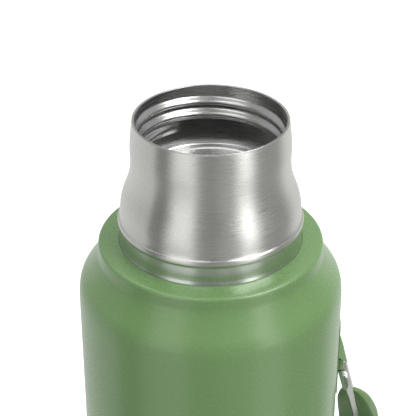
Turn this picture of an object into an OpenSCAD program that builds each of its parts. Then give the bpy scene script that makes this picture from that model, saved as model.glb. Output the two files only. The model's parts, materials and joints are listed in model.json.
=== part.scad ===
// Vacuum flask with a threaded mouth and a folding side handle.
// Frame: +Z up, origin at the centre of the flat base, the body on the Z axis.
// The handle hangs on two upright pins near the +X side and is drawn folded back.

/* [Body] */
// Height from the base to the lip
total_h = 320; // [290:1:360]
// Outer diameter of the insulated body
body_d = 110.3; // [100:0.1:120]
// Sheet thickness of the outer vessel
outer_t = 0.6; // [0.4:0.05:1]
// Sheet thickness of the liner
liner_t = 0.5; // [0.3:0.05:0.8]
// Vacuum gap between the two vessels along the body
vacuum_gap = 4.05; // [3:0.05:6]

/* [Neck and mouth] */
// Outer radius of the lip
lip_r = 31.2; // [30:0.1:34]
// Outer radius of the neck where it meets the shoulder
neck_foot_r = 36.96; // [35:0.01:40]
// Inner radius of the threaded mouth
mouth_r = 30.1; // [29:0.05:32]
// How far the rolled thread stands into the mouth
thread_h = 1.9; // [1:0.05:2.5]
// Rise of the thread in one turn
thread_pitch = 5.5; // [4:0.1:8]
// Number of thread turns
thread_turns = 2.25; // [1:0.05:2.6]
// Depth of the stopper's seat below the lip
seat_depth = 26.7; // [24:0.1:32]
// Radius of the throat below the seat
throat_r = 21.5; // [20:0.1:28]

/* [Shoulder] */
// Outer radius of the raised shoulder ring
ring_r = 46.4; // [42:0.1:48]
// Depth of the ring's top below the lip
ring_depth = 54.4; // [50:0.1:60]
// Depth below the lip where the shoulder becomes the straight wall
wall_depth = 82.4; // [70:0.1:95]

/* [Handle] */
// Azimuth of the hinge line on the body
hinge_az = 8; // [0:1:20]
// Distance of the hinge line from the body's axis
hinge_r = 58.1; // [58:0.1:62]
// Azimuth that the folded handle points along
fold_az = 65; // [50:1:78]
// Depth of the handle's middle below the lip
handle_mid_depth = 199; // [180:1:215]
// Slope of the handle's straight arms from upright
arm_slope = 28; // [20:1:35]
// Reach of the frame's middle from the hinge line
handle_reach = 35.9; // [30:0.1:45]
// Radius of the frame's middle bend
bend_r = 45.8; // [35:0.1:70]
// Height of the arm's end above the handle's middle
arm_end_h = 72.4; // [65:0.1:85]
// Width of the steel frame
bar_w = 3.4; // [2.6:0.1:5]
// Thickness of the steel frame
bar_t = 1.3; // [1:0.1:3]
// Width of the slot near each end of the frame
slot_w = 2; // [1:0.1:2.4]
// Width of the grip across its split line
grip_w = 19.6; // [14:0.1:24]
// Depth of the grip from finger side to outside
grip_d = 10.6; // [10:0.1:22]

/* [Hidden] */

$fn = 96;
gap = 0.04;
body_r = body_d / 2;
shell_in_r = body_r - outer_t;
liner_out_r = shell_in_r - vacuum_gap;
liner_in_r = liner_out_r - liner_t;
lip_z = total_h;
sleeve_t = 0.5;
sleeve_out_r = mouth_r + sleeve_t;
paint_r = 37.8;
paint_depth = 53.9;
crease_r = 46.9;
crease_depth = 60.9;
ring_edge_r = 1.5;
seat_low_depth = 28.7;
liner_top_depth = 74;
liner_low_z = 16;
liner_edge_r = 2.6;
bottom_z = 8.4;
bottom_t = 0.6;
cap_h = 12;
cap_t = 0.6;
cap_r = body_r + gap + cap_t;
cap_edge_r = 3.5;
foot_in_r = 41;
pad_r = 30;
foot_rise = 1.6;
plate_t = 0.45;
plate_w = 28;
plate_h = 37;
plate_low = 66;
hood_mouth_h = 73.3;
hood_tip_r = 3.3;
hood_wall = 0.55;
pin_r = 0.8;
bush_r = 1.15;
fit_gap = 0.03;
knuckle_r = 1.7;
knuckle_low = 70.4;
knuckle_h = 5.6;
pin_top = 84;
leaf_side = 1;
leaf_lap = 0.8;
leaf_in = 1.9;
slot_low = 16;
slot_high = 11.4;
grip_len = 27.2;
grip_face = 1.3;
mid_z = lip_z - handle_mid_depth;
bend_x = handle_reach - bend_r;
arm_len = (arm_end_h - bend_r * sin(arm_slope)) / cos(arm_slope);
screw_r = 1.5;
screw_head_r = 2.7;
screw_d = 3.8;
screw_in = 2.1;
screw_head_h = 1.85;
nut_in = 2.4;
nut_h = 2.4;
screw_along = [-18, 0, 18];

// ---- small helpers ----

function bez(a, b, c, d, n) = [for (i = [0:n]) let(t = i / n, s = 1 - t)
    s * s * s * a + 3 * s * s * t * b + 3 * s * t * t * c + t * t * t * d];

function arc(cx, cy, r, a0, a1, n) = [for (i = [0:n]) let(a = a0 + (a1 - a0) * i / n)
    [cx + r * cos(a), cy + r * sin(a)]];

function flip(p) = [for (i = [len(p) - 1:-1:0]) p[i]];

// A parallel line on the left of the direction of travel.
function beside(p, t) = [for (i = [0:len(p) - 1])
    let(a = p[max(i - 1, 0)], b = p[min(i + 1, len(p) - 1)], d = b - a, l = norm(d))
    p[i] + t * [-d[1], d[0]] / l];

// A sheet that follows a line from top to bottom, turned about the Z axis.
// The line is the outside face, and the sheet lies on the axis side of it.
module turned_sheet(line, t) {
    rotate_extrude($fn = 128)
        polygon(concat(line, flip(beside(line, -t))));
}

// A line given as radius and depth below the lip, in the part's own heights.
function from_lip(p) = [for (q = p) [q[0], lip_z - q[1]]];

// ---- outer vessel ----

neck_line = from_lip(concat(
    bez([lip_r, 0], [lip_r + 0.4, 3], [32.31, 8.25], [32.31, 12.25], 10),
    bez([32.31, 12.9], [32.31, 13.75], [32.24, 14.85], [32.24, 16.35], 4),
    bez([32.24, 16.9], [32.24, 29.23], [neck_foot_r, 29.79], [neck_foot_r, 40.91], 28),
    [[37.1, 42.2], [37.35, 42.7]],
    [for (i = [0:6]) [37.35 + 0.72 * sin(30 * i), 44.2 - 1.4 * cos(30 * i)]],
    [[37.3, 46.1], [37.25, 48.5], [37.3, 51], [37.42, 52.4], [37.6, 53.3], [paint_r, 53.8]]));

ring_line = from_lip(concat(
    [[paint_r + 0.05, paint_depth], [40.5, paint_depth + 0.12], [43, paint_depth + 0.3],
     [ring_r - ring_edge_r, ring_depth]],
    [for (i = [1:8]) let(a = 90 * i / 8)
        [ring_r - ring_edge_r + ring_edge_r * sin(a), ring_depth + ring_edge_r * (1 - cos(a))]],
    [[ring_r + 0.12, ring_depth + 4.2], [ring_r + 0.3, crease_depth - 0.9],
     [crease_r, crease_depth - 0.15]]));

dome_line = from_lip(concat(
    bez([crease_r, crease_depth], [53.74, 73.4], [body_r, 69.59], [body_r, wall_depth], 32),
    [[body_r, 120], [body_r, lip_z - cap_edge_r - 0.1]]));

module outer_tube() {
    color([0.30, 0.43, 0.26])
        turned_sheet(dome_line, outer_t);
}

module shoulder_ring() {
    color([0.32, 0.45, 0.28])
        turned_sheet(ring_line, outer_t);
}

module neck_sleeve() {
    color([0.74, 0.74, 0.73])
        difference() {
            rotate_extrude($fn = 128)
                polygon(concat(neck_line, flip([for (q = beside(neck_line, -0.62))
                    [max(q[0], sleeve_out_r + gap), q[1]]])));
            // The foot is trimmed level with the paint line.
            translate([0, 0, lip_z - paint_depth - 2])
                cylinder(r = 60, h = 2);
        }
}

// ---- mouth with a rolled thread ----

around_n = 64;
row_n = 34;
bead_half = 2.5;
thread_start = 205;
thread_top = 5.6;
thread_low = 21;

// The bead's height at an angle and a depth below the lip, summed over its turns.
// It fades in at the start and out at the end.
function bead(a, depth) = max([for (k = [0:2]) let(
    turn = (thread_start - a) / 360 + k,
    off = (depth - thread_top - thread_pitch * turn) / bead_half,
    run = min(turn, thread_turns - turn) * 360 / 35,
    fade = run <= 0 ? 0 : run >= 1 ? 1 : sin(90 * run))
    abs(off) >= 1 ? 0 : thread_h * fade * pow(cos(90 * off), 1.5)]);

// One closed ring of points at the given depth.
function inside_ring(depth) = [for (i = [0:around_n - 1]) let(
    a = 360 * i / around_n, r = mouth_r - bead(a, depth))
    [r * cos(a), r * sin(a), lip_z - depth]];

function plain_ring(r, depth) = [for (i = [0:around_n - 1]) let(a = 360 * i / around_n)
    [r * cos(a), r * sin(a), lip_z - depth]];

module mouth_thread() {
    rows = concat(
        [plain_ring(sleeve_out_r - 0.02, seat_depth), plain_ring(sleeve_out_r - 0.02, 0.2),
         plain_ring(sleeve_out_r - 0.15, 0.04), plain_ring(mouth_r + 0.15, 0.04)],
        [for (k = [0:row_n]) inside_ring(0.2 + (thread_low - 0.2) * k / row_n)],
        [plain_ring(mouth_r, seat_depth)]);
    n = len(rows);
    color([0.70, 0.70, 0.69])
        polyhedron(
            points = [for (r = rows) each r],
            faces = [for (j = [0:n - 1]) for (i = [0:around_n - 1]) each let(
                j2 = (j + 1) % n, i2 = (i + 1) % around_n,
                p = j * around_n + i, q = j * around_n + i2,
                u = j2 * around_n + i, v = j2 * around_n + i2)
                [[p, v, q], [p, u, v]]],
            convexity = 10);
}

// ---- liner ----

liner_neck_line = from_lip(concat(
    [[sleeve_out_r, seat_depth + gap], [sleeve_out_r, seat_depth + 0.5],
     [sleeve_out_r - 0.3, seat_depth + 0.9], [sleeve_out_r - 0.9, seat_depth + 1.15],
     [sleeve_out_r - 2.2, seat_depth + 1.2], [sleeve_out_r - 2.9, seat_depth + 0.85],
     [sleeve_out_r - 3.6, seat_depth + 0.85], [sleeve_out_r - 4.4, seat_depth + 1.3]],
    [[throat_r + liner_t + 2, seat_low_depth], [throat_r + liner_t + 0.9, seat_low_depth + 0.35],
     [throat_r + liner_t + 0.25, seat_low_depth + 0.95], [throat_r + liner_t, seat_low_depth + 1.8],
     [throat_r + liner_t, 45]],
    bez([throat_r + liner_t, 48], [throat_r + liner_t, 56], [33, 59], [39, 62.2], 10),
    bez([40, 62.7], [46, 65.6], [liner_out_r, 67], [liner_out_r, liner_top_depth], 12)));

module liner_neck() {
    color([0.66, 0.66, 0.66])
        turned_sheet(liner_neck_line, liner_t);
}

module liner_tube() {
    color([0.62, 0.62, 0.63])
        translate([0, 0, liner_low_z + liner_edge_r + gap])
            difference() {
                cylinder(r = liner_out_r, h = lip_z - liner_top_depth - liner_low_z - liner_edge_r - 2 * gap,
                    $fn = 128);
                translate([0, 0, -1])
                    cylinder(r = liner_in_r, h = lip_z, $fn = 128);
            }
}

module liner_bottom() {
    color([0.60, 0.60, 0.61])
        rotate_extrude($fn = 128) {
            edge = liner_edge_r;
            outer = concat([[0, liner_low_z], [liner_out_r - edge, liner_low_z]],
                arc(liner_out_r - edge, liner_low_z + edge, edge, -90, 0, 10));
            inner = concat([[0, liner_low_z + liner_t], [liner_out_r - edge, liner_low_z + liner_t]],
                arc(liner_out_r - edge, liner_low_z + edge, edge - liner_t, -90, 0, 10));
            polygon(concat(outer, flip(inner)));
        }
}

module radiation_foil() {
    color([0.78, 0.50, 0.34])
        translate([0, 0, liner_low_z + 16])
            difference() {
                cylinder(r = liner_out_r + 1.1, h = 196, $fn = 128);
                translate([0, 0, -1])
                    cylinder(r = liner_out_r + 0.85, h = 200, $fn = 128);
            }
}

module liner_support() {
    color([0.85, 0.85, 0.82])
        translate([0, 0, bottom_z + bottom_t + gap])
            difference() {
                cylinder(r = 17, h = liner_low_z - bottom_z - bottom_t - 2 * gap);
                translate([0, 0, -1])
                    cylinder(r = 14, h = 20);
                for (a = [0:60:300])
                    rotate([0, 0, a])
                        translate([15, 0, 3.4])
                            rotate([0, 90, 0])
                                cylinder(r = 2, h = 8, center = true, $fn = 32);
            }
}

module getter() {
    color([0.35, 0.34, 0.33])
        translate([27, 0, bottom_z + bottom_t + 0.75])
            cylinder(r = 4, h = 3, $fn = 48);
}

module getter_clip() {
    color([0.64, 0.64, 0.62])
        translate([27, 0, bottom_z + bottom_t + gap]) {
            difference() {
                cylinder(r = 5.2, h = 3.9, $fn = 48);
                translate([0, 0, 0.6])
                    cylinder(r = 4.2, h = 5, $fn = 48);
                translate([-7, -2.2, 0.6])
                    cube([14, 4.4, 5]);
                translate([0, 0, -1])
                    cylinder(r = 1.5, h = 3, $fn = 32);
            }
        }
}

// ---- closed end and base ----

module outer_bottom() {
    color([0.63, 0.63, 0.63])
        rotate_extrude($fn = 128) {
            skirt_r = shell_in_r - gap;
            polygon(concat(
                [[1.2, bottom_z - 1.4], [4, bottom_z - 1.4], [6.5, bottom_z],
                 [skirt_r - 3.6, bottom_z]],
                arc(skirt_r - 3.6, bottom_z - 3, 3, 90, 0, 6),
                [[skirt_r - bottom_t, cap_edge_r + 0.1], [skirt_r, cap_edge_r + 0.1]],
                arc(skirt_r - 3.6, bottom_z - 3, 3 + bottom_t, 0, 90, 6),
                [[6.3, bottom_z + bottom_t], [3.8, bottom_z - 1.4 + bottom_t],
                 [1.2, bottom_z - 1.4 + bottom_t]]));
        }
}

module vacuum_seal() {
    color([0.55, 0.50, 0.42])
        translate([0, 0, bottom_z - 1.4 - gap])
            rotate_extrude($fn = 48)
                polygon([[0, -0.9], [1.4, -0.8], [2.2, -0.4], [2.4, 0], [0, 0]]);
}

module base_cap() {
    color([0.28, 0.40, 0.25])
        rotate_extrude($fn = 128) {
            c = cap_r - cap_edge_r;
            polygon(concat(
                [[0, 0], [pad_r, 0], [pad_r + 2, foot_rise], [foot_in_r - 2, foot_rise],
                 [foot_in_r, 0], [c, 0]],
                arc(c, cap_edge_r, cap_edge_r, -90, 0, 10),
                [[cap_r, cap_h], [cap_r - cap_t, cap_h]],
                arc(c, cap_edge_r, cap_edge_r - cap_t, 0, -90, 10),
                [[foot_in_r + 0.3, cap_t], [foot_in_r - 1.7, foot_rise + cap_t],
                 [pad_r + 1.7, foot_rise + cap_t], [pad_r - 0.3, cap_t], [0, cap_t]]));
        }
}

// ---- handle brackets and pivots ----

// Puts its children on the hinge line, +X pointing straight out from the body
// and Z measured from the middle of the handle.
module at_hinge() {
    translate([0, 0, mid_z])
        rotate([0, 0, hinge_az])
            translate([hinge_r, 0, 0])
                children();
}

// The hood's outside, or its inside when it is drawn smaller.
module hood_form(shrink, drop) {
    hull() {
        translate([body_r - hinge_r - 0.4, 0, hood_mouth_h + 21 - shrink * 2])
            sphere(r = 1 - shrink * 0.6, $fn = 20);
        translate([-0.6, 0, hood_mouth_h + 9.5 - shrink])
            sphere(r = 1.75 - shrink, $fn = 24);
        translate([0, 0, hood_mouth_h - drop])
            cylinder(r = hood_tip_r - shrink, h = 0.6, $fn = 40);
        for (s = [-1, 1])
            translate([body_r - hinge_r - 0.5, s * 5, hood_mouth_h - drop])
                cylinder(r = 1.6 - shrink * 0.7, h = 6 + drop - shrink, $fn = 20);
    }
}

module bracket() {
    difference() {
        union() {
            // The plate follows the body's wall.
            translate([-hinge_r, 0, 0])
                intersection() {
                    translate([0, 0, plate_low])
                        difference() {
                            cylinder(r = body_r + gap + plate_t, h = plate_h, $fn = 128);
                            translate([0, 0, -1])
                                cylinder(r = body_r + gap, h = plate_h + 2, $fn = 128);
                        }
                    translate([body_r, 0, plate_low + plate_h / 2])
                        rotate([0, 90, 0])
                            linear_extrude(20, center = true)
                                plate_outline();
                }
            difference() {
                hood_form(0, 0);
                translate([-hinge_r, 0, 0])
                    cylinder(r = body_r + gap, h = 200, $fn = 128);
                difference() {
                    hood_form(hood_wall, 4);
                    // The roof above the knuckle stays solid and holds the pin.
                    translate([-10, -10, hood_mouth_h + 3.2])
                        cube([20, 20, 30]);
                }
                // The mouth slants up towards the body.
                translate([hood_tip_r, 0, hood_mouth_h])
                    rotate([0, 52, 0])
                        translate([-30, -15, -20])
                            cube([30.2, 30, 20]);
            }
        }
        translate([0, 0, 60])
            cylinder(r = pin_r + 0.01, h = pin_top - 60 + gap, $fn = 48);
    }
}

module plate_outline() {
    c = 3;
    square([plate_h - 2 * c, plate_w], center = true);
    square([plate_h, plate_w - 2 * c], center = true);
    for (x = [-1, 1], y = [-1, 1])
        translate([x * (plate_h / 2 - c), y * (plate_w / 2 - c)])
            circle(r = c, $fn = 32);
}

module both_ends() {
    children();
    mirror([0, 0, 1])
        children();
}

module upper_bracket() {
    color([0.29, 0.42, 0.26])
        at_hinge()
            bracket();
}

module lower_bracket() {
    color([0.29, 0.42, 0.26])
        at_hinge()
            mirror([0, 0, 1])
                bracket();
}

module pivot_pins() {
    color([0.75, 0.75, 0.75])
        at_hinge()
            both_ends()
                translate([0, 0, knuckle_low - 1.1]) {
                    cylinder(r = pin_r, h = pin_top - knuckle_low + 1.1, $fn = 48);
                    cylinder(r = 1.4, h = 0.6, $fn = 48);
                }
}

module pivot_bushes() {
    color([0.15, 0.15, 0.15])
        at_hinge()
            both_ends()
                translate([0, 0, knuckle_low - 0.3])
                    difference() {
                        union() {
                            cylinder(r = bush_r, h = knuckle_h + 0.6, $fn = 48);
                            translate([0, 0, knuckle_h + 0.34])
                                cylinder(r = 1.55, h = 0.4, $fn = 48);
                        }
                        translate([0, 0, -1])
                            cylinder(r = pin_r + fit_gap, h = 20, $fn = 48);
                    }
}

// ---- folding handle ----

// Puts its children in the handle's own plane: X away from the hinge line, Z up.
module in_handle() {
    at_hinge()
        rotate([0, 0, fold_az - hinge_az])
            children();
}

// Runs a flat section (x outwards from the frame's line, y across it) along the
// frame: the middle bend and both straight arms up to the given length.
module along_frame(len) {
    rotate([90, 0, 0])
        translate([bend_x, 0, 0]) {
            rotate([0, 0, -arm_slope])
                rotate_extrude(angle = 2 * arm_slope, $fn = 160)
                    translate([bend_r, 0])
                        children();
            for (m = [0, 1])
                mirror([0, m, 0])
                    rotate([0, 0, arm_slope])
                        translate([bend_r, len, 0])
                            rotate([90, 0, 0])
                                linear_extrude(len + 0.05)
                                    children();
        }
}

// Places its children at one arm's foot: X outwards, Y along the arm, Z across.
module on_arm() {
    rotate([90, 0, 0])
        translate([bend_x, 0, 0])
            rotate([0, 0, arm_slope])
                translate([bend_r, 0, 0])
                    children();
}

module bar_end_cut() {
    on_arm()
        translate([0, arm_len, 0])
            difference() {
                translate([-3, -bar_w / 2, -4])
                    cube([6, 6, 8]);
                translate([0, -bar_w / 2, 0])
                    rotate([0, 90, 0])
                        cylinder(r = bar_w / 2, h = 8, center = true, $fn = 40);
            }
}

module frame_slot() {
    on_arm()
        for (y = [arm_len - slot_high, arm_len - slot_low])
            translate([0, y, 0])
                rotate([0, 90, 0])
                    cylinder(r = slot_w / 2, h = 8, center = true, $fn = 32);
    on_arm()
        translate([-4, arm_len - slot_low, -slot_w / 2])
            cube([8, slot_low - slot_high, slot_w]);
}

module handle_frame() {
    color([0.78, 0.78, 0.77])
        in_handle()
            difference() {
                along_frame(arm_len)
                    square([bar_t, bar_w], center = true);
                both_ends()
                    bar_end_cut();
                both_ends()
                    frame_slot();
                cylinder(r = knuckle_r + 0.1, h = 200, center = true, $fn = 48);
            }
}

// The leaf's arm is folded round one edge of the frame, on the side that faces the body.
module leaf() {
    leaf_len = arm_len - grip_len - 3.2;
    difference() {
        union() {
            on_arm()
                translate([-leaf_in, grip_len + 2.2, -bar_w / 2 - gap - leaf_side]) {
                    cube([leaf_in + bar_t / 2, leaf_len, leaf_side]);
                    cube([leaf_in - bar_t / 2, leaf_len, leaf_side + gap + leaf_lap]);
                }
            // A web joins the knuckle to the arm beside the frame's end.
            translate([0, 0, knuckle_low - 0.4])
                linear_extrude(hood_mouth_h - knuckle_low)
                    polygon([[0.3, 1.25], [1.4, 1], [4.2, bar_w / 2 - leaf_lap],
                        [4.6, bar_w / 2 + gap + leaf_side], [2, bar_w / 2 + gap + leaf_side],
                        [0.5, 1.6]]);
            translate([0, 0, knuckle_low])
                cylinder(r = knuckle_r, h = knuckle_h, $fn = 48);
        }
        translate([0, 0, knuckle_low - 1])
            cylinder(r = bush_r + gap, h = knuckle_h + 2, $fn = 48);
        on_arm()
            translate([-bar_t / 2 - gap, 0, -bar_w / 2 - gap])
                cube([bar_t + 2 * gap, arm_len + 0.1, bar_w + 2 * gap]);
    }
}

module upper_leaf() {
    color([0.27, 0.39, 0.24])
        in_handle()
            leaf();
}

module lower_leaf() {
    color([0.27, 0.39, 0.24])
        in_handle()
            mirror([0, 0, 1])
                leaf();
}

// A point of the handle's plane from its length along the frame's line, measured
// from the middle, and its distance outside that line.
bend_half = bend_r * arm_slope * PI / 180;
function on_path(s, d) = let(
    over = max(abs(s) - bend_half, 0),
    a = min(abs(s), bend_half) / bend_r * 180 / PI,
    x = bend_x + (bend_r + d) * cos(a) - over * sin(a),
    z = (bend_r + d) * sin(a) + over * cos(a))
    [x, s < 0 ? -z : z];

grip_half_len = bend_half + grip_len;
grip_end_len = 13.2;
grip_taper_len = 41;
grip_tip_w = 2.2;
grip_tip_d = 1.55;
grip_waist = 0.4;
grip_steps = [0, 0.25, 0.8, 1.8, 3.4, 5.6, 8.2, 11, 13.2, 17, 22];
grip_stations = concat(
    [for (u = grip_steps) u - grip_half_len],
    [for (i = [-7:7]) bend_half * i / 7],
    [for (i = [len(grip_steps) - 1:-1:0]) grip_half_len - grip_steps[i]]);

// One half of the grip's section at a place along it: rounded outside, flat on
// the split line, and cut away for the frame. The ends are domed.
function grip_ring(s, side) = let(
    u = grip_half_len - abs(s),
    k = max(0, 1 - u / grip_end_len),
    j = max(0, 1 - u / grip_taper_len),
    w = grip_tip_w + (grip_w / 2 * (1 - grip_waist * j * j) - grip_tip_w) * sqrt(1 - k * k),
    d1 = grip_tip_d + (grip_d - grip_face - grip_tip_d) * (1 - pow(j, 2.75)),
    d0 = 1.1 * k * k - grip_face,
    y0 = bar_w / 2 + gap,
    flat = concat(
        [[d1, gap / 2]],
        [for (i = [1:13]) let(t = i * 13.2, e = pow(sin(t), 0.75) * w)
            [(cos(t) > 0 ? d1 : -d0) * sign(cos(t)) * pow(abs(cos(t)), 0.75),
                t > 90 ? max(e, y0 + 0.05) : e]],
        [[d0, y0], [bar_t / 2 + gap, y0], [bar_t / 2 + gap, gap / 2]]))
    [for (q = flat) let(o = on_path(s, q[0])) [o[0], -side * q[1], o[1]]];

module grip_form(side) {
    rings = [for (s = grip_stations) grip_ring(s, side)];
    m = len(rings[0]);
    n = len(rings);
    walls = [for (j = [0:n - 2]) for (i = [0:m - 1]) each let(
        p = j * m + i, q = j * m + (i + 1) % m, u = p + m, v = q + m)
        [[p, q, v], [p, v, u]]];
    caps = [[for (i = [m - 1:-1:0]) i], [for (i = [0:m - 1]) (n - 1) * m + i]];
    faces = concat(walls, caps);
    polyhedron(
        points = [for (r = rings) each r],
        faces = side < 0 ? faces : [for (f = faces) [for (i = [len(f) - 1:-1:0]) f[i]]],
        convexity = 8);
}

module grip_half(side) {
    difference() {
        grip_form(side);
        for (s = screw_along)
            grip_bolt_place(s)
                cylinder(r = screw_r + 0.1, h = 14.2, center = true, $fn = 32);
        for (s = screw_along)
            grip_bolt_place(s)
                if (side < 0)
                    translate([0, 0, -grip_w / 2 - 1])
                        cylinder(r = screw_head_r + 0.15, h = screw_in + screw_head_h + 1 + gap, $fn = 48);
                else
                    translate([0, 0, -1])
                        cylinder(r = 2.75 / cos(30) + 0.08, h = nut_in + nut_h + 1.4, $fn = 6);
    }
}

// A screw's axis: it crosses the grip from one half to the other.
module grip_bolt_place(s) {
    rotate([90, 0, 0])
        translate([bend_x, 0, 0])
            rotate([0, 0, s])
                translate([bend_r + screw_d, 0, 0])
                    children();
}

module grip_front() {
    color([0.24, 0.36, 0.22])
        in_handle()
            grip_half(1);
}

module grip_back() {
    color([0.22, 0.33, 0.20])
        in_handle()
            grip_half(-1);
}

module grip_screws() {
    color([0.70, 0.70, 0.70])
        in_handle()
            for (s = screw_along)
                grip_bolt_place(s)
                    difference() {
                        union() {
                            translate([0, 0, -grip_w / 2 + screw_in + 0.2])
                                cylinder(r = screw_r - 0.05, h = grip_w / 2 - screw_in + nut_in + nut_h - 0.4,
                                    $fn = 32);
                            translate([0, 0, -grip_w / 2 + screw_in])
                                cylinder(r = screw_head_r, h = screw_head_h, $fn = 48);
                        }
                        for (a = [0, 90])
                            rotate([0, 0, a])
                                translate([-1.5, -0.35, -grip_w / 2 + screw_in - 1])
                                    cube([3, 0.7, 2]);
                    }
}

module grip_nuts() {
    color([0.68, 0.66, 0.58])
        in_handle()
            for (s = screw_along)
                grip_bolt_place(s)
                    translate([0, 0, nut_in])
                        difference() {
                            cylinder(r = 2.75 / cos(30), h = nut_h, $fn = 6);
                            translate([0, 0, -1])
                                cylinder(r = screw_r + 0.03, h = 5, $fn = 32);
                        }
}

outer_tube();
shoulder_ring();
neck_sleeve();
mouth_thread();
liner_neck();
liner_tube();
liner_bottom();
radiation_foil();
getter();
getter_clip();
liner_support();
outer_bottom();
vacuum_seal();
base_cap();
upper_bracket();
lower_bracket();
pivot_pins();
pivot_bushes();
upper_leaf();
lower_leaf();
handle_frame();
grip_front();
grip_back();
grip_screws();
grip_nuts();
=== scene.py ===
import json
import math
import bpy
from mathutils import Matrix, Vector


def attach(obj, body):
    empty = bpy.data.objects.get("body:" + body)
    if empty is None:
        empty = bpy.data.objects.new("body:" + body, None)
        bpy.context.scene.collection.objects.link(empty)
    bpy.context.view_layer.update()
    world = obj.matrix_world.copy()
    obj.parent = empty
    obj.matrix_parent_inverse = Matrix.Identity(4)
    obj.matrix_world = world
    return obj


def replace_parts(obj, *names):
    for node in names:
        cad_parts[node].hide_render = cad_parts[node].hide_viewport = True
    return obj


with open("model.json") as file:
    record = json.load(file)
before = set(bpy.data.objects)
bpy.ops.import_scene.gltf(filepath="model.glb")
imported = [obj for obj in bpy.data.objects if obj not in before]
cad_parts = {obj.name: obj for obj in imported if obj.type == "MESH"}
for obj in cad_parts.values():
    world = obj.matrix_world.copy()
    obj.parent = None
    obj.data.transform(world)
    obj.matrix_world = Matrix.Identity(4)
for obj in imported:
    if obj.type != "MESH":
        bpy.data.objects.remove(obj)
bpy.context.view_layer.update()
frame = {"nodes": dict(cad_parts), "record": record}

MM = 0.001
LIP_Z = 320.0
MOUTH_R = 30.1
SLEEVE_R = 30.6
BODY_R = 55.15
SHEET_T = 0.6
NECK_T = 0.62
LATHE_STEPS = 256
MOUTH_STEPS = 288


# ---------- small mesh helpers ----------

def bez(a, b, c, d, n):
    """n + 1 points on a cubic curve."""
    out = []
    for i in range(n + 1):
        t = i / n
        s = 1 - t
        out.append(tuple(s ** 3 * a[k] + 3 * s * s * t * b[k] + 3 * s * t * t * c[k] + t ** 3 * d[k]
                         for k in (0, 1)))
    return out


def beside(line, t):
    """The line moved t to the left of its direction of travel."""
    out = []
    for i, p in enumerate(line):
        a = line[max(i - 1, 0)]
        b = line[min(i + 1, len(line) - 1)]
        dx, dz = b[0] - a[0], b[1] - a[1]
        n = math.hypot(dx, dz)
        out.append((p[0] - t * dz / n, p[1] + t * dx / n))
    return out


def from_lip(line):
    """(radius, depth below the lip) as (radius, height)."""
    return [(r, LIP_Z - d) for r, d in line]


def new_object(name, verts, faces, body, material, smooth_deg=40):
    mesh = bpy.data.meshes.new(name)
    mesh.from_pydata([tuple(c * MM for c in v) for v in verts], [], faces)
    mesh.validate()
    mesh.update()
    obj = bpy.data.objects.new(name, mesh)
    bpy.context.collection.objects.link(obj)
    smooth(obj, smooth_deg)
    obj.data.materials.append(material)
    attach(obj, body)
    return obj


def smooth(obj, degrees):
    for p in obj.data.polygons:
        p.use_smooth = True
    obj.data.set_sharp_from_angle(angle=math.radians(degrees))


def lathe(name, loop, body, material):
    """A closed loop of (radius, height) in mm, turned about Z."""
    n = len(loop)
    verts, faces = [], []
    for i in range(LATHE_STEPS):
        a = 2 * math.pi * i / LATHE_STEPS
        c, s = math.cos(a), math.sin(a)
        verts += [(r * c, r * s, z) for r, z in loop]
    for i in range(LATHE_STEPS):
        j = (i + 1) % LATHE_STEPS
        for k in range(n):
            m = (k + 1) % n
            faces.append((i * n + k, i * n + m, j * n + m, j * n + k))
    return new_object(name, verts, faces, body, material)


# ---------- materials ----------

# Stretch of the brushing noise: round the Z axis, along it, or none.
BRUSH = {"around": (0.9, 0.9, 60), "along": (60, 60, 1.2), "none": (12, 12, 12)}


def material(name):
    """A new material, its node tree and its Principled shader."""
    mat = bpy.data.materials.new(name)
    mat.use_nodes = True
    nodes = mat.node_tree.nodes
    bsdf = nodes["Principled BSDF"]
    return mat, mat.node_tree, bsdf


def add(tree, kind, **props):
    node = tree.nodes.new(kind)
    for key, value in props.items():
        setattr(node, key, value)
    return node


def coords(tree, scale=(1, 1, 1)):
    tex = add(tree, "ShaderNodeTexCoord")
    mapping = add(tree, "ShaderNodeMapping")
    mapping.inputs["Scale"].default_value = scale
    tree.links.new(tex.outputs["Object"], mapping.inputs["Vector"])
    return mapping.outputs["Vector"]


def noise(tree, vector, scale, detail=3.0, rough=0.5):
    n = add(tree, "ShaderNodeTexNoise")
    n.inputs["Scale"].default_value = scale
    n.inputs["Detail"].default_value = detail
    n.inputs["Roughness"].default_value = rough
    tree.links.new(vector, n.inputs["Vector"])
    return n.outputs["Fac"]


def ramp(tree, fac, stops):
    r = add(tree, "ShaderNodeValToRGB")
    els = r.color_ramp.elements
    els[0].position, els[0].color = stops[0][0], (*stops[0][1], 1)
    els[1].position, els[1].color = stops[-1][0], (*stops[-1][1], 1)
    for pos, col in stops[1:-1]:
        els.new(pos).color = (*col, 1)
    tree.links.new(fac, r.inputs["Fac"])
    return r.outputs["Color"]


def grey(v):
    return (v, v, v)


def bump(tree, height, strength, distance):
    b = add(tree, "ShaderNodeBump")
    b.inputs["Strength"].default_value = strength
    b.inputs["Distance"].default_value = distance
    tree.links.new(height, b.inputs["Height"])
    return b.outputs["Normal"]


def coated(name, light, dark, rough, grain, grain_strength):
    """Textured powder coat: fine orange-peel grain with slight colour drift."""
    mat, tree, bsdf = material(name)
    v = coords(tree)
    colour = ramp(tree, noise(tree, v, 38, 4), [(0.3, dark), (0.7, light)])
    tree.links.new(colour, bsdf.inputs["Base Color"])
    r = ramp(tree, noise(tree, v, grain * 0.7, 2), [(0.35, grey(rough - 0.02)), (0.7, grey(rough + 0.03))])
    tree.links.new(r, bsdf.inputs["Roughness"])
    peel = bump(tree, noise(tree, v, grain, 2.0, 0.6), grain_strength, 0.00002)
    tree.links.new(peel, bsdf.inputs["Normal"])
    bsdf.inputs["Specular IOR Level"].default_value = 0.85
    return mat


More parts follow.
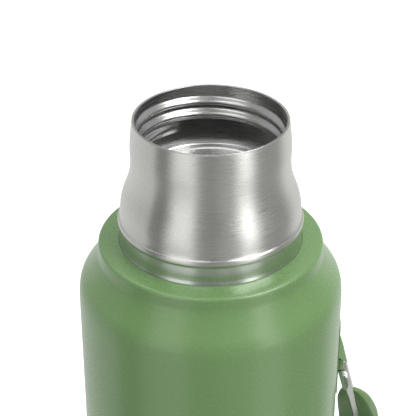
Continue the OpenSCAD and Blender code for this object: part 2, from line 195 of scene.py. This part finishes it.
def steel(name, base, rough=0.26, brush="around", anisotropic=0.0, strength=0.08):
    """Brushed stainless steel. The brushing runs round the Z axis or along it."""
    mat, tree, bsdf = material(name)
    bsdf.inputs["Metallic"].default_value = 1.0
    bsdf.inputs["Anisotropic"].default_value = anisotropic
    if anisotropic:
        bsdf.inputs["Anisotropic Rotation"].default_value = 0.25
        tangent = add(tree, "ShaderNodeTangent", direction_type="RADIAL", axis="Z")
        tree.links.new(tangent.outputs["Tangent"], bsdf.inputs["Tangent"])
    v = coords(tree, BRUSH[brush])
    fine = noise(tree, v, 60, 4, 0.7)
    dark = tuple(c * 0.90 for c in base)
    light = tuple(min(c * 1.07, 1) for c in base)
    colour = ramp(tree, fine, [(0.2, dark), (0.8, light)])
    tree.links.new(colour, bsdf.inputs["Base Color"])
    r = ramp(tree, fine, [(0.2, grey(rough - 0.05)), (0.8, grey(rough + 0.07))])
    tree.links.new(r, bsdf.inputs["Roughness"])
    tree.links.new(bump(tree, fine, strength, 0.0003), bsdf.inputs["Normal"])
    return mat


def moulded(name, light, dark, rough=0.5, grain=900, strength=0.15):
    """Matt moulded plastic, or a pressed powder, with a fine grain."""
    mat, tree, bsdf = material(name)
    v = coords(tree)
    colour = ramp(tree, noise(tree, v, 60, 3), [(0.3, dark), (0.7, light)])
    tree.links.new(colour, bsdf.inputs["Base Color"])
    r = ramp(tree, noise(tree, v, 140, 2), [(0.3, grey(rough - 0.05)), (0.7, grey(rough + 0.06))])
    tree.links.new(r, bsdf.inputs["Roughness"])
    tree.links.new(bump(tree, noise(tree, v, grain, 2), strength, 0.0003), bsdf.inputs["Normal"])
    return mat


GREEN = coated("green_powder_coat", (0.146, 0.280, 0.096), (0.140, 0.270, 0.091), 0.26, 1700, 0.20)
NECK = steel("neck_brushed_steel", (0.61, 0.61, 0.58), 0.27, anisotropic=0.95, strength=0.16)
# Neck foot: darker and greener than the neck's steel, as painted shade in the recessed band and a painted
# reflection of the green shoulder; its lower roughness and anisotropy are the finish.
NECK_FOOT_SHADE_AND_REFLECTION = steel("neck_foot_steel_shade_and_reflection", (0.58, 0.60, 0.565), 0.20, anisotropic=0.3, strength=0.05)
# Liner: brighter than the other stainless, as painted light on the ledge inside the mouth.
LINER_PAINTED_LIGHT = steel("liner_steel", (0.78, 0.78, 0.77), 0.26, strength=0.015)
# Mouth sleeve: darker than the neck's steel, as painted shade inside the mouth.
MOUTH_PAINTED_SHADE = steel("mouth_steel_painted_shade", (0.47, 0.47, 0.465), 0.25, strength=0.015)
VESSEL = steel("vessel_steel", (0.50, 0.50, 0.49), 0.36, brush="none")
FRAME_STEEL = steel("frame_steel", (0.66, 0.66, 0.65), 0.28, brush="along")
# Pivot pin: near black, as painted shade under the hinge hood, though it is steel.
PIN_PAINTED_SHADE = steel("pin_steel", (0.06, 0.06, 0.06), 0.4, brush="none")
SCREW = steel("screw_steel", (0.60, 0.60, 0.60), 0.25, brush="none")
GRIP = moulded("grip_plastic", (0.150, 0.262, 0.098), (0.136, 0.240, 0.086))
# Hinge bush: black, as a nylon bush is, and near black also as painted shade in the cavity under the hinge
# hood.
BUSH_BLACK_AND_SHADE = moulded("bush_plastic", (0.02, 0.02, 0.02), (0.012, 0.012, 0.012), 0.45)
SUPPORT = moulded("support_plastic", (0.70, 0.70, 0.66), (0.62, 0.62, 0.58), 0.55)
FOIL = steel("radiation_foil", (0.80, 0.46, 0.30), 0.22, brush="none", strength=0.2)
GETTER = moulded("getter_metal", (0.10, 0.095, 0.09), (0.06, 0.058, 0.055), 0.7, 1500, 0.4)
BRAZE = steel("seal_braze", (0.52, 0.44, 0.30), 0.4, brush="none")
NUT = steel("nut_brass", (0.72, 0.56, 0.28), 0.3, brush="none")

BY_SLOT = {
    "green_coat": GREEN, "neck_steel": NECK, "liner_steel": LINER_PAINTED_LIGHT, "vessel_steel": VESSEL,
    "foil": FOIL, "getter_metal": GETTER, "support_plastic": SUPPORT, "seal_braze": BRAZE,
    "frame_steel": FRAME_STEEL, "pin_steel": PIN_PAINTED_SHADE, "bush_plastic": BUSH_BLACK_AND_SHADE, "grip_plastic": GRIP,
    "screw_steel": SCREW, "nut_brass": NUT,
}
for part in frame["record"]["subparts"]:
    obj = frame["nodes"][part["node"]]
    obj.data.materials.clear()
    obj.data.materials.append(BY_SLOT[part["material_slot"]])


# ---------- turned visible pieces, finer than the CAD mesh ----------
# Outlines are (radius, depth below the lip) in mm, from the lip down.

FOOT_DEPTH = 45.4
PAINT_DEPTH = 53.88
BEAD_R, BEAD_DEPTH = 37.35, 44.2
BEAD_OUT, BEAD_HALF = 0.72, 1.4
RING_R, RING_TOP, RING_ROUND = 46.4, 54.4, 1.5
CAP_SEAM = 3.6


def neck():
    """The brushed bell, with a raised bead and a recessed band at its foot."""
    line = from_lip(
        bez((31.2, 0.15), (31.6, 3), (32.31, 8.25), (32.31, 12.25), 24)
        + bez((32.31, 12.6), (32.31, 13.75), (32.24, 14.85), (32.24, 16.35), 10)
        + bez((32.24, 16.7), (32.24, 29.23), (36.96, 29.79), (36.96, 40.91), 48)
        + [(37.02, 41.7), (37.12, 42.3), (BEAD_R, 42.75)]
        + [(BEAD_R + BEAD_OUT * math.sin(math.radians(a)), BEAD_DEPTH - BEAD_HALF * math.cos(math.radians(a)))
           for a in range(10, 180, 10)]
        + [(37.32, 45.75), (37.26, 46.6), (37.24, 48.5), (37.28, 51), (37.36, 52.2), (37.5, 53.0),
           (37.7, 53.6), (37.78, PAINT_DEPTH)])
    inside = [(max(r, SLEEVE_R + 0.04), z) for r, z in beside(line, -NECK_T)]
    loop = line + [(37.3, LIP_Z - PAINT_DEPTH)] + inside[-2::-1]
    shell = lathe("neck_shell", loop, "flask", NECK)
    # Faces below the bead take the darker, greener steel: painted shade and a painted green reflection in the
    # recessed band.
    shell.data.materials.append(NECK_FOOT_SHADE_AND_REFLECTION)
    for face in shell.data.polygons:
        if face.center.z < (LIP_Z - FOOT_DEPTH) * MM:
            face.material_index = 1
    return shell


def shoulder():
    """The raised ring: flat on top, rounded edge, and a step down into the dome."""
    line = from_lip(
        [(37.85, 53.9), (39, 53.96), (40.5, 54.02), (43, 54.2), (44.4, 54.34)]
        + [(RING_R - RING_ROUND + RING_ROUND * math.sin(math.radians(a)),
            RING_TOP + RING_ROUND * (1 - math.cos(math.radians(a))))
           for a in range(5, 91, 7)]
        + [(46.5, 57.5), (46.56, 58.9), (46.68, 59.9), (46.86, 60.6), (47.1, 61.15), (47.32, 61.5)])
    loop = line + beside(line, -SHEET_T)[::-1]
    return lathe("shoulder_step", loop, "flask", GREEN)


def body_wall():
    """The dome and the straight wall, down to the base cap."""
    line = from_lip(
        bez((46.9, 60.9), (53.74, 73.4), (BODY_R, 69.59), (BODY_R, 82.4), 64)
        + [(BODY_R, d) for d in range(90, 315, 15)]
        + [(BODY_R, LIP_Z - CAP_SEAM)])
    loop = line + beside(line, -SHEET_T)[::-1]
    return lathe("body_shell", loop, "flask", GREEN)


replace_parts(neck(), "neck_sleeve")
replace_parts(shoulder(), "shoulder_ring")
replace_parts(body_wall(), "outer_tube")

# The mouth: a sleeve rolled into a right-hand thread. Depths are below the lip.
SEAT = 26.7
LIP_ROUND = 0.25
THREAD_H = 1.9
THREAD_TOP, THREAD_LOW = 5.6, 21.0
PITCH, TURNS, HALF_WIDTH = 5.5, 2.25, 2.5
START_DEG, RUN_OUT_DEG = 205.0, 35


def thread(angle, depth):
    """How far the thread stands in from the wall."""
    best = 0.0
    for k in range(3):
        turn = (START_DEG - angle) / 360 + k
        off = (depth - THREAD_TOP - PITCH * turn) / HALF_WIDTH
        run = min(turn, TURNS - turn) * 360 / RUN_OUT_DEG
        if run <= 0 or abs(off) >= 1:
            continue
        fade = 1 if run >= 1 else math.sin(math.pi / 2 * run)
        best = max(best, THREAD_H * fade * math.cos(math.pi / 2 * off) ** 1.5)
    return best


def mouth():
    """The threaded sleeve as rings of points: up the outside, over the lip, down the inside."""
    around = MOUTH_STEPS
    rounds = [math.pi * k / 6 for k in range(1, 6)]
    depths = [LIP_ROUND + (THREAD_LOW - LIP_ROUND) * k / 126 for k in range(127)]
    rings = [lambda a: (SLEEVE_R, SEAT), lambda a: (SLEEVE_R, LIP_ROUND)]
    rings += [lambda a, t=t: (MOUTH_R + LIP_ROUND * (1 + math.cos(t)), LIP_ROUND * (1 - math.sin(t)))
              for t in rounds]
    rings += [lambda a, d=d: (MOUTH_R - thread(a, d), d) for d in depths]
    rings += [lambda a, d=d: (MOUTH_R, d) for d in (22.5, 24.5, SEAT)]
    verts, faces = [], []
    n = len(rings)
    for ring in rings:
        for i in range(around):
            a = 360 * i / around
            r, d = ring(a)
            verts.append((r * math.cos(math.radians(a)), r * math.sin(math.radians(a)), LIP_Z - d))
    for j in range(n):
        for i in range(around):
            p, q = j * around + i, j * around + (i + 1) % around
            u, v = ((j + 1) % n) * around + i, ((j + 1) % n) * around + (i + 1) % around
            faces.append((p, u, v, q))
    return new_object("mouth_sleeve", verts, faces, "flask", MOUTH_PAINTED_SHADE, smooth_deg=50)


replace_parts(mouth(), "mouth_thread")


# ---------- floor, light, camera ----------

# Brightness of the studio by bearing, counted from the camera's side towards its
# right: soft cards and flags round the object, which the steel mirrors as bands.
FLOOR_GLOW = [(-180, 0.95), (-120, 0.85), (-84, 0.74), (-77, 0.32), (-62, 0.30), (-55, 0.74), (-22, 0.94),
              (-15, 0.40), (6, 0.38), (12, 0.52), (32, 0.50), (37, 0.96), (60, 0.96), (66, 0.38), (84, 0.42),
              (104, 0.42), (124, 0.95), (180, 0.95)]
WORLD_GLOW = [(-180, 0.66), (-120, 0.64), (-84, 0.55), (-77, 0.24), (-62, 0.24), (-55, 0.55), (-22, 0.66),
              (-15, 0.28), (6, 0.26), (12, 0.38), (32, 0.38), (37, 0.8), (60, 0.8), (66, 0.30), (84, 0.36),
              (104, 0.38), (124, 0.66), (180, 0.66)]


def by_bearing(tree, output, stops):
    """A grey that depends on the bearing from the object's axis."""
    tex = add(tree, "ShaderNodeTexCoord")
    turn = add(tree, "ShaderNodeMapping")
    turn.inputs["Rotation"].default_value = (0, 0, math.radians(90))
    tree.links.new(tex.outputs[output], turn.inputs["Vector"])
    wheel = add(tree, "ShaderNodeTexGradient", gradient_type="RADIAL")
    tree.links.new(turn.outputs["Vector"], wheel.inputs["Vector"])
    return ramp(tree, wheel.outputs["Color"], [((b + 180) / 360, grey(v)) for b, v in stops])


def floor_material():
    """White where the camera looks at it, and the bands of the studio where the steel mirrors it."""
    mat, tree, bsdf = material("floor_white")
    bsdf.inputs["Base Color"].default_value = (0.9, 0.9, 0.9, 1)
    bsdf.inputs["Roughness"].default_value = 0.8
    bsdf.inputs["Specular IOR Level"].default_value = 0.1
    bsdf.inputs["Emission Color"].default_value = (1, 1, 1, 1)
    bsdf.inputs["Emission Strength"].default_value = 0.45
    seen = add(tree, "ShaderNodeEmission")
    tree.links.new(by_bearing(tree, "Object", FLOOR_GLOW), seen.inputs["Color"])
    path = add(tree, "ShaderNodeLightPath")
    mix = add(tree, "ShaderNodeMixShader")
    tree.links.new(path.outputs["Is Camera Ray"], mix.inputs["Fac"])
    tree.links.new(seen.outputs["Emission"], mix.inputs[1])
    tree.links.new(bsdf.outputs["BSDF"], mix.inputs[2])
    tree.links.new(mix.outputs["Shader"], tree.nodes["Material Output"].inputs["Surface"])
    return mat


bpy.ops.mesh.primitive_plane_add(size=8, location=(0, 0, -0.0002))
floor = bpy.context.object
floor.name = "floor"
floor.data.materials.append(floor_material())


def softbox(name, azimuth, distance, height, size, power, aim=(0, 0, 0.24)):
    """A soft light at an azimuth counted from the camera's side towards its right."""
    data = bpy.data.lights.new(name, "AREA")
    data.shape = "RECTANGLE"
    data.size, data.size_y = size
    data.energy = power
    obj = bpy.data.objects.new(name, data)
    bpy.context.collection.objects.link(obj)
    a = math.radians(azimuth)
    obj.location = (distance * math.sin(a), -distance * math.cos(a), height)
    obj.rotation_euler = (Vector(aim) - obj.location).to_track_quat("-Z", "Y").to_euler()
    obj.visible_camera = False
    return obj


softbox("strip_right", 47, 0.95, 0.55, (0.26, 1.05), 1.0, (0, 0, 0.5))
softbox("strip_left", -36, 0.95, 0.55, (0.46, 1.05), 0.9, (0, 0, 0.5))
softbox("key_right", 62, 0.75, 1.12, (0.80, 0.36), 7.0)
softbox("key_left", -34, 0.70, 1.25, (0.90, 0.30), 1.8)
softbox("top", 180, 0.55, 2.0, (1.8, 1.6), 11)

world = bpy.data.worlds.new("studio")
bpy.context.scene.world = world
world.use_nodes = True
back = world.node_tree.nodes["Background"]
world.node_tree.links.new(by_bearing(world.node_tree, "Generated", WORLD_GLOW), back.inputs["Color"])
back.inputs["Strength"].default_value = 1.0

# The photo's camera: its height is counted from the lip, and it looks down by the pitch.
CAMERA_PITCH = 30.74
CAMERA_AWAY, CAMERA_ABOVE_LIP, CAMERA_SIDE = 0.4779, 0.2432, -0.0011

camera = bpy.data.objects.new("camera", bpy.data.cameras.new("camera"))
bpy.context.collection.objects.link(camera)
camera.data.sensor_width = 36
camera.data.lens = 118.0
camera.location = (CAMERA_SIDE, -CAMERA_AWAY, LIP_Z * MM + CAMERA_ABOVE_LIP)
camera.rotation_euler = (math.radians(90 - CAMERA_PITCH), 0, 0)
bpy.context.scene.camera = camera
bpy.context.scene.view_settings.view_transform = "Standard"
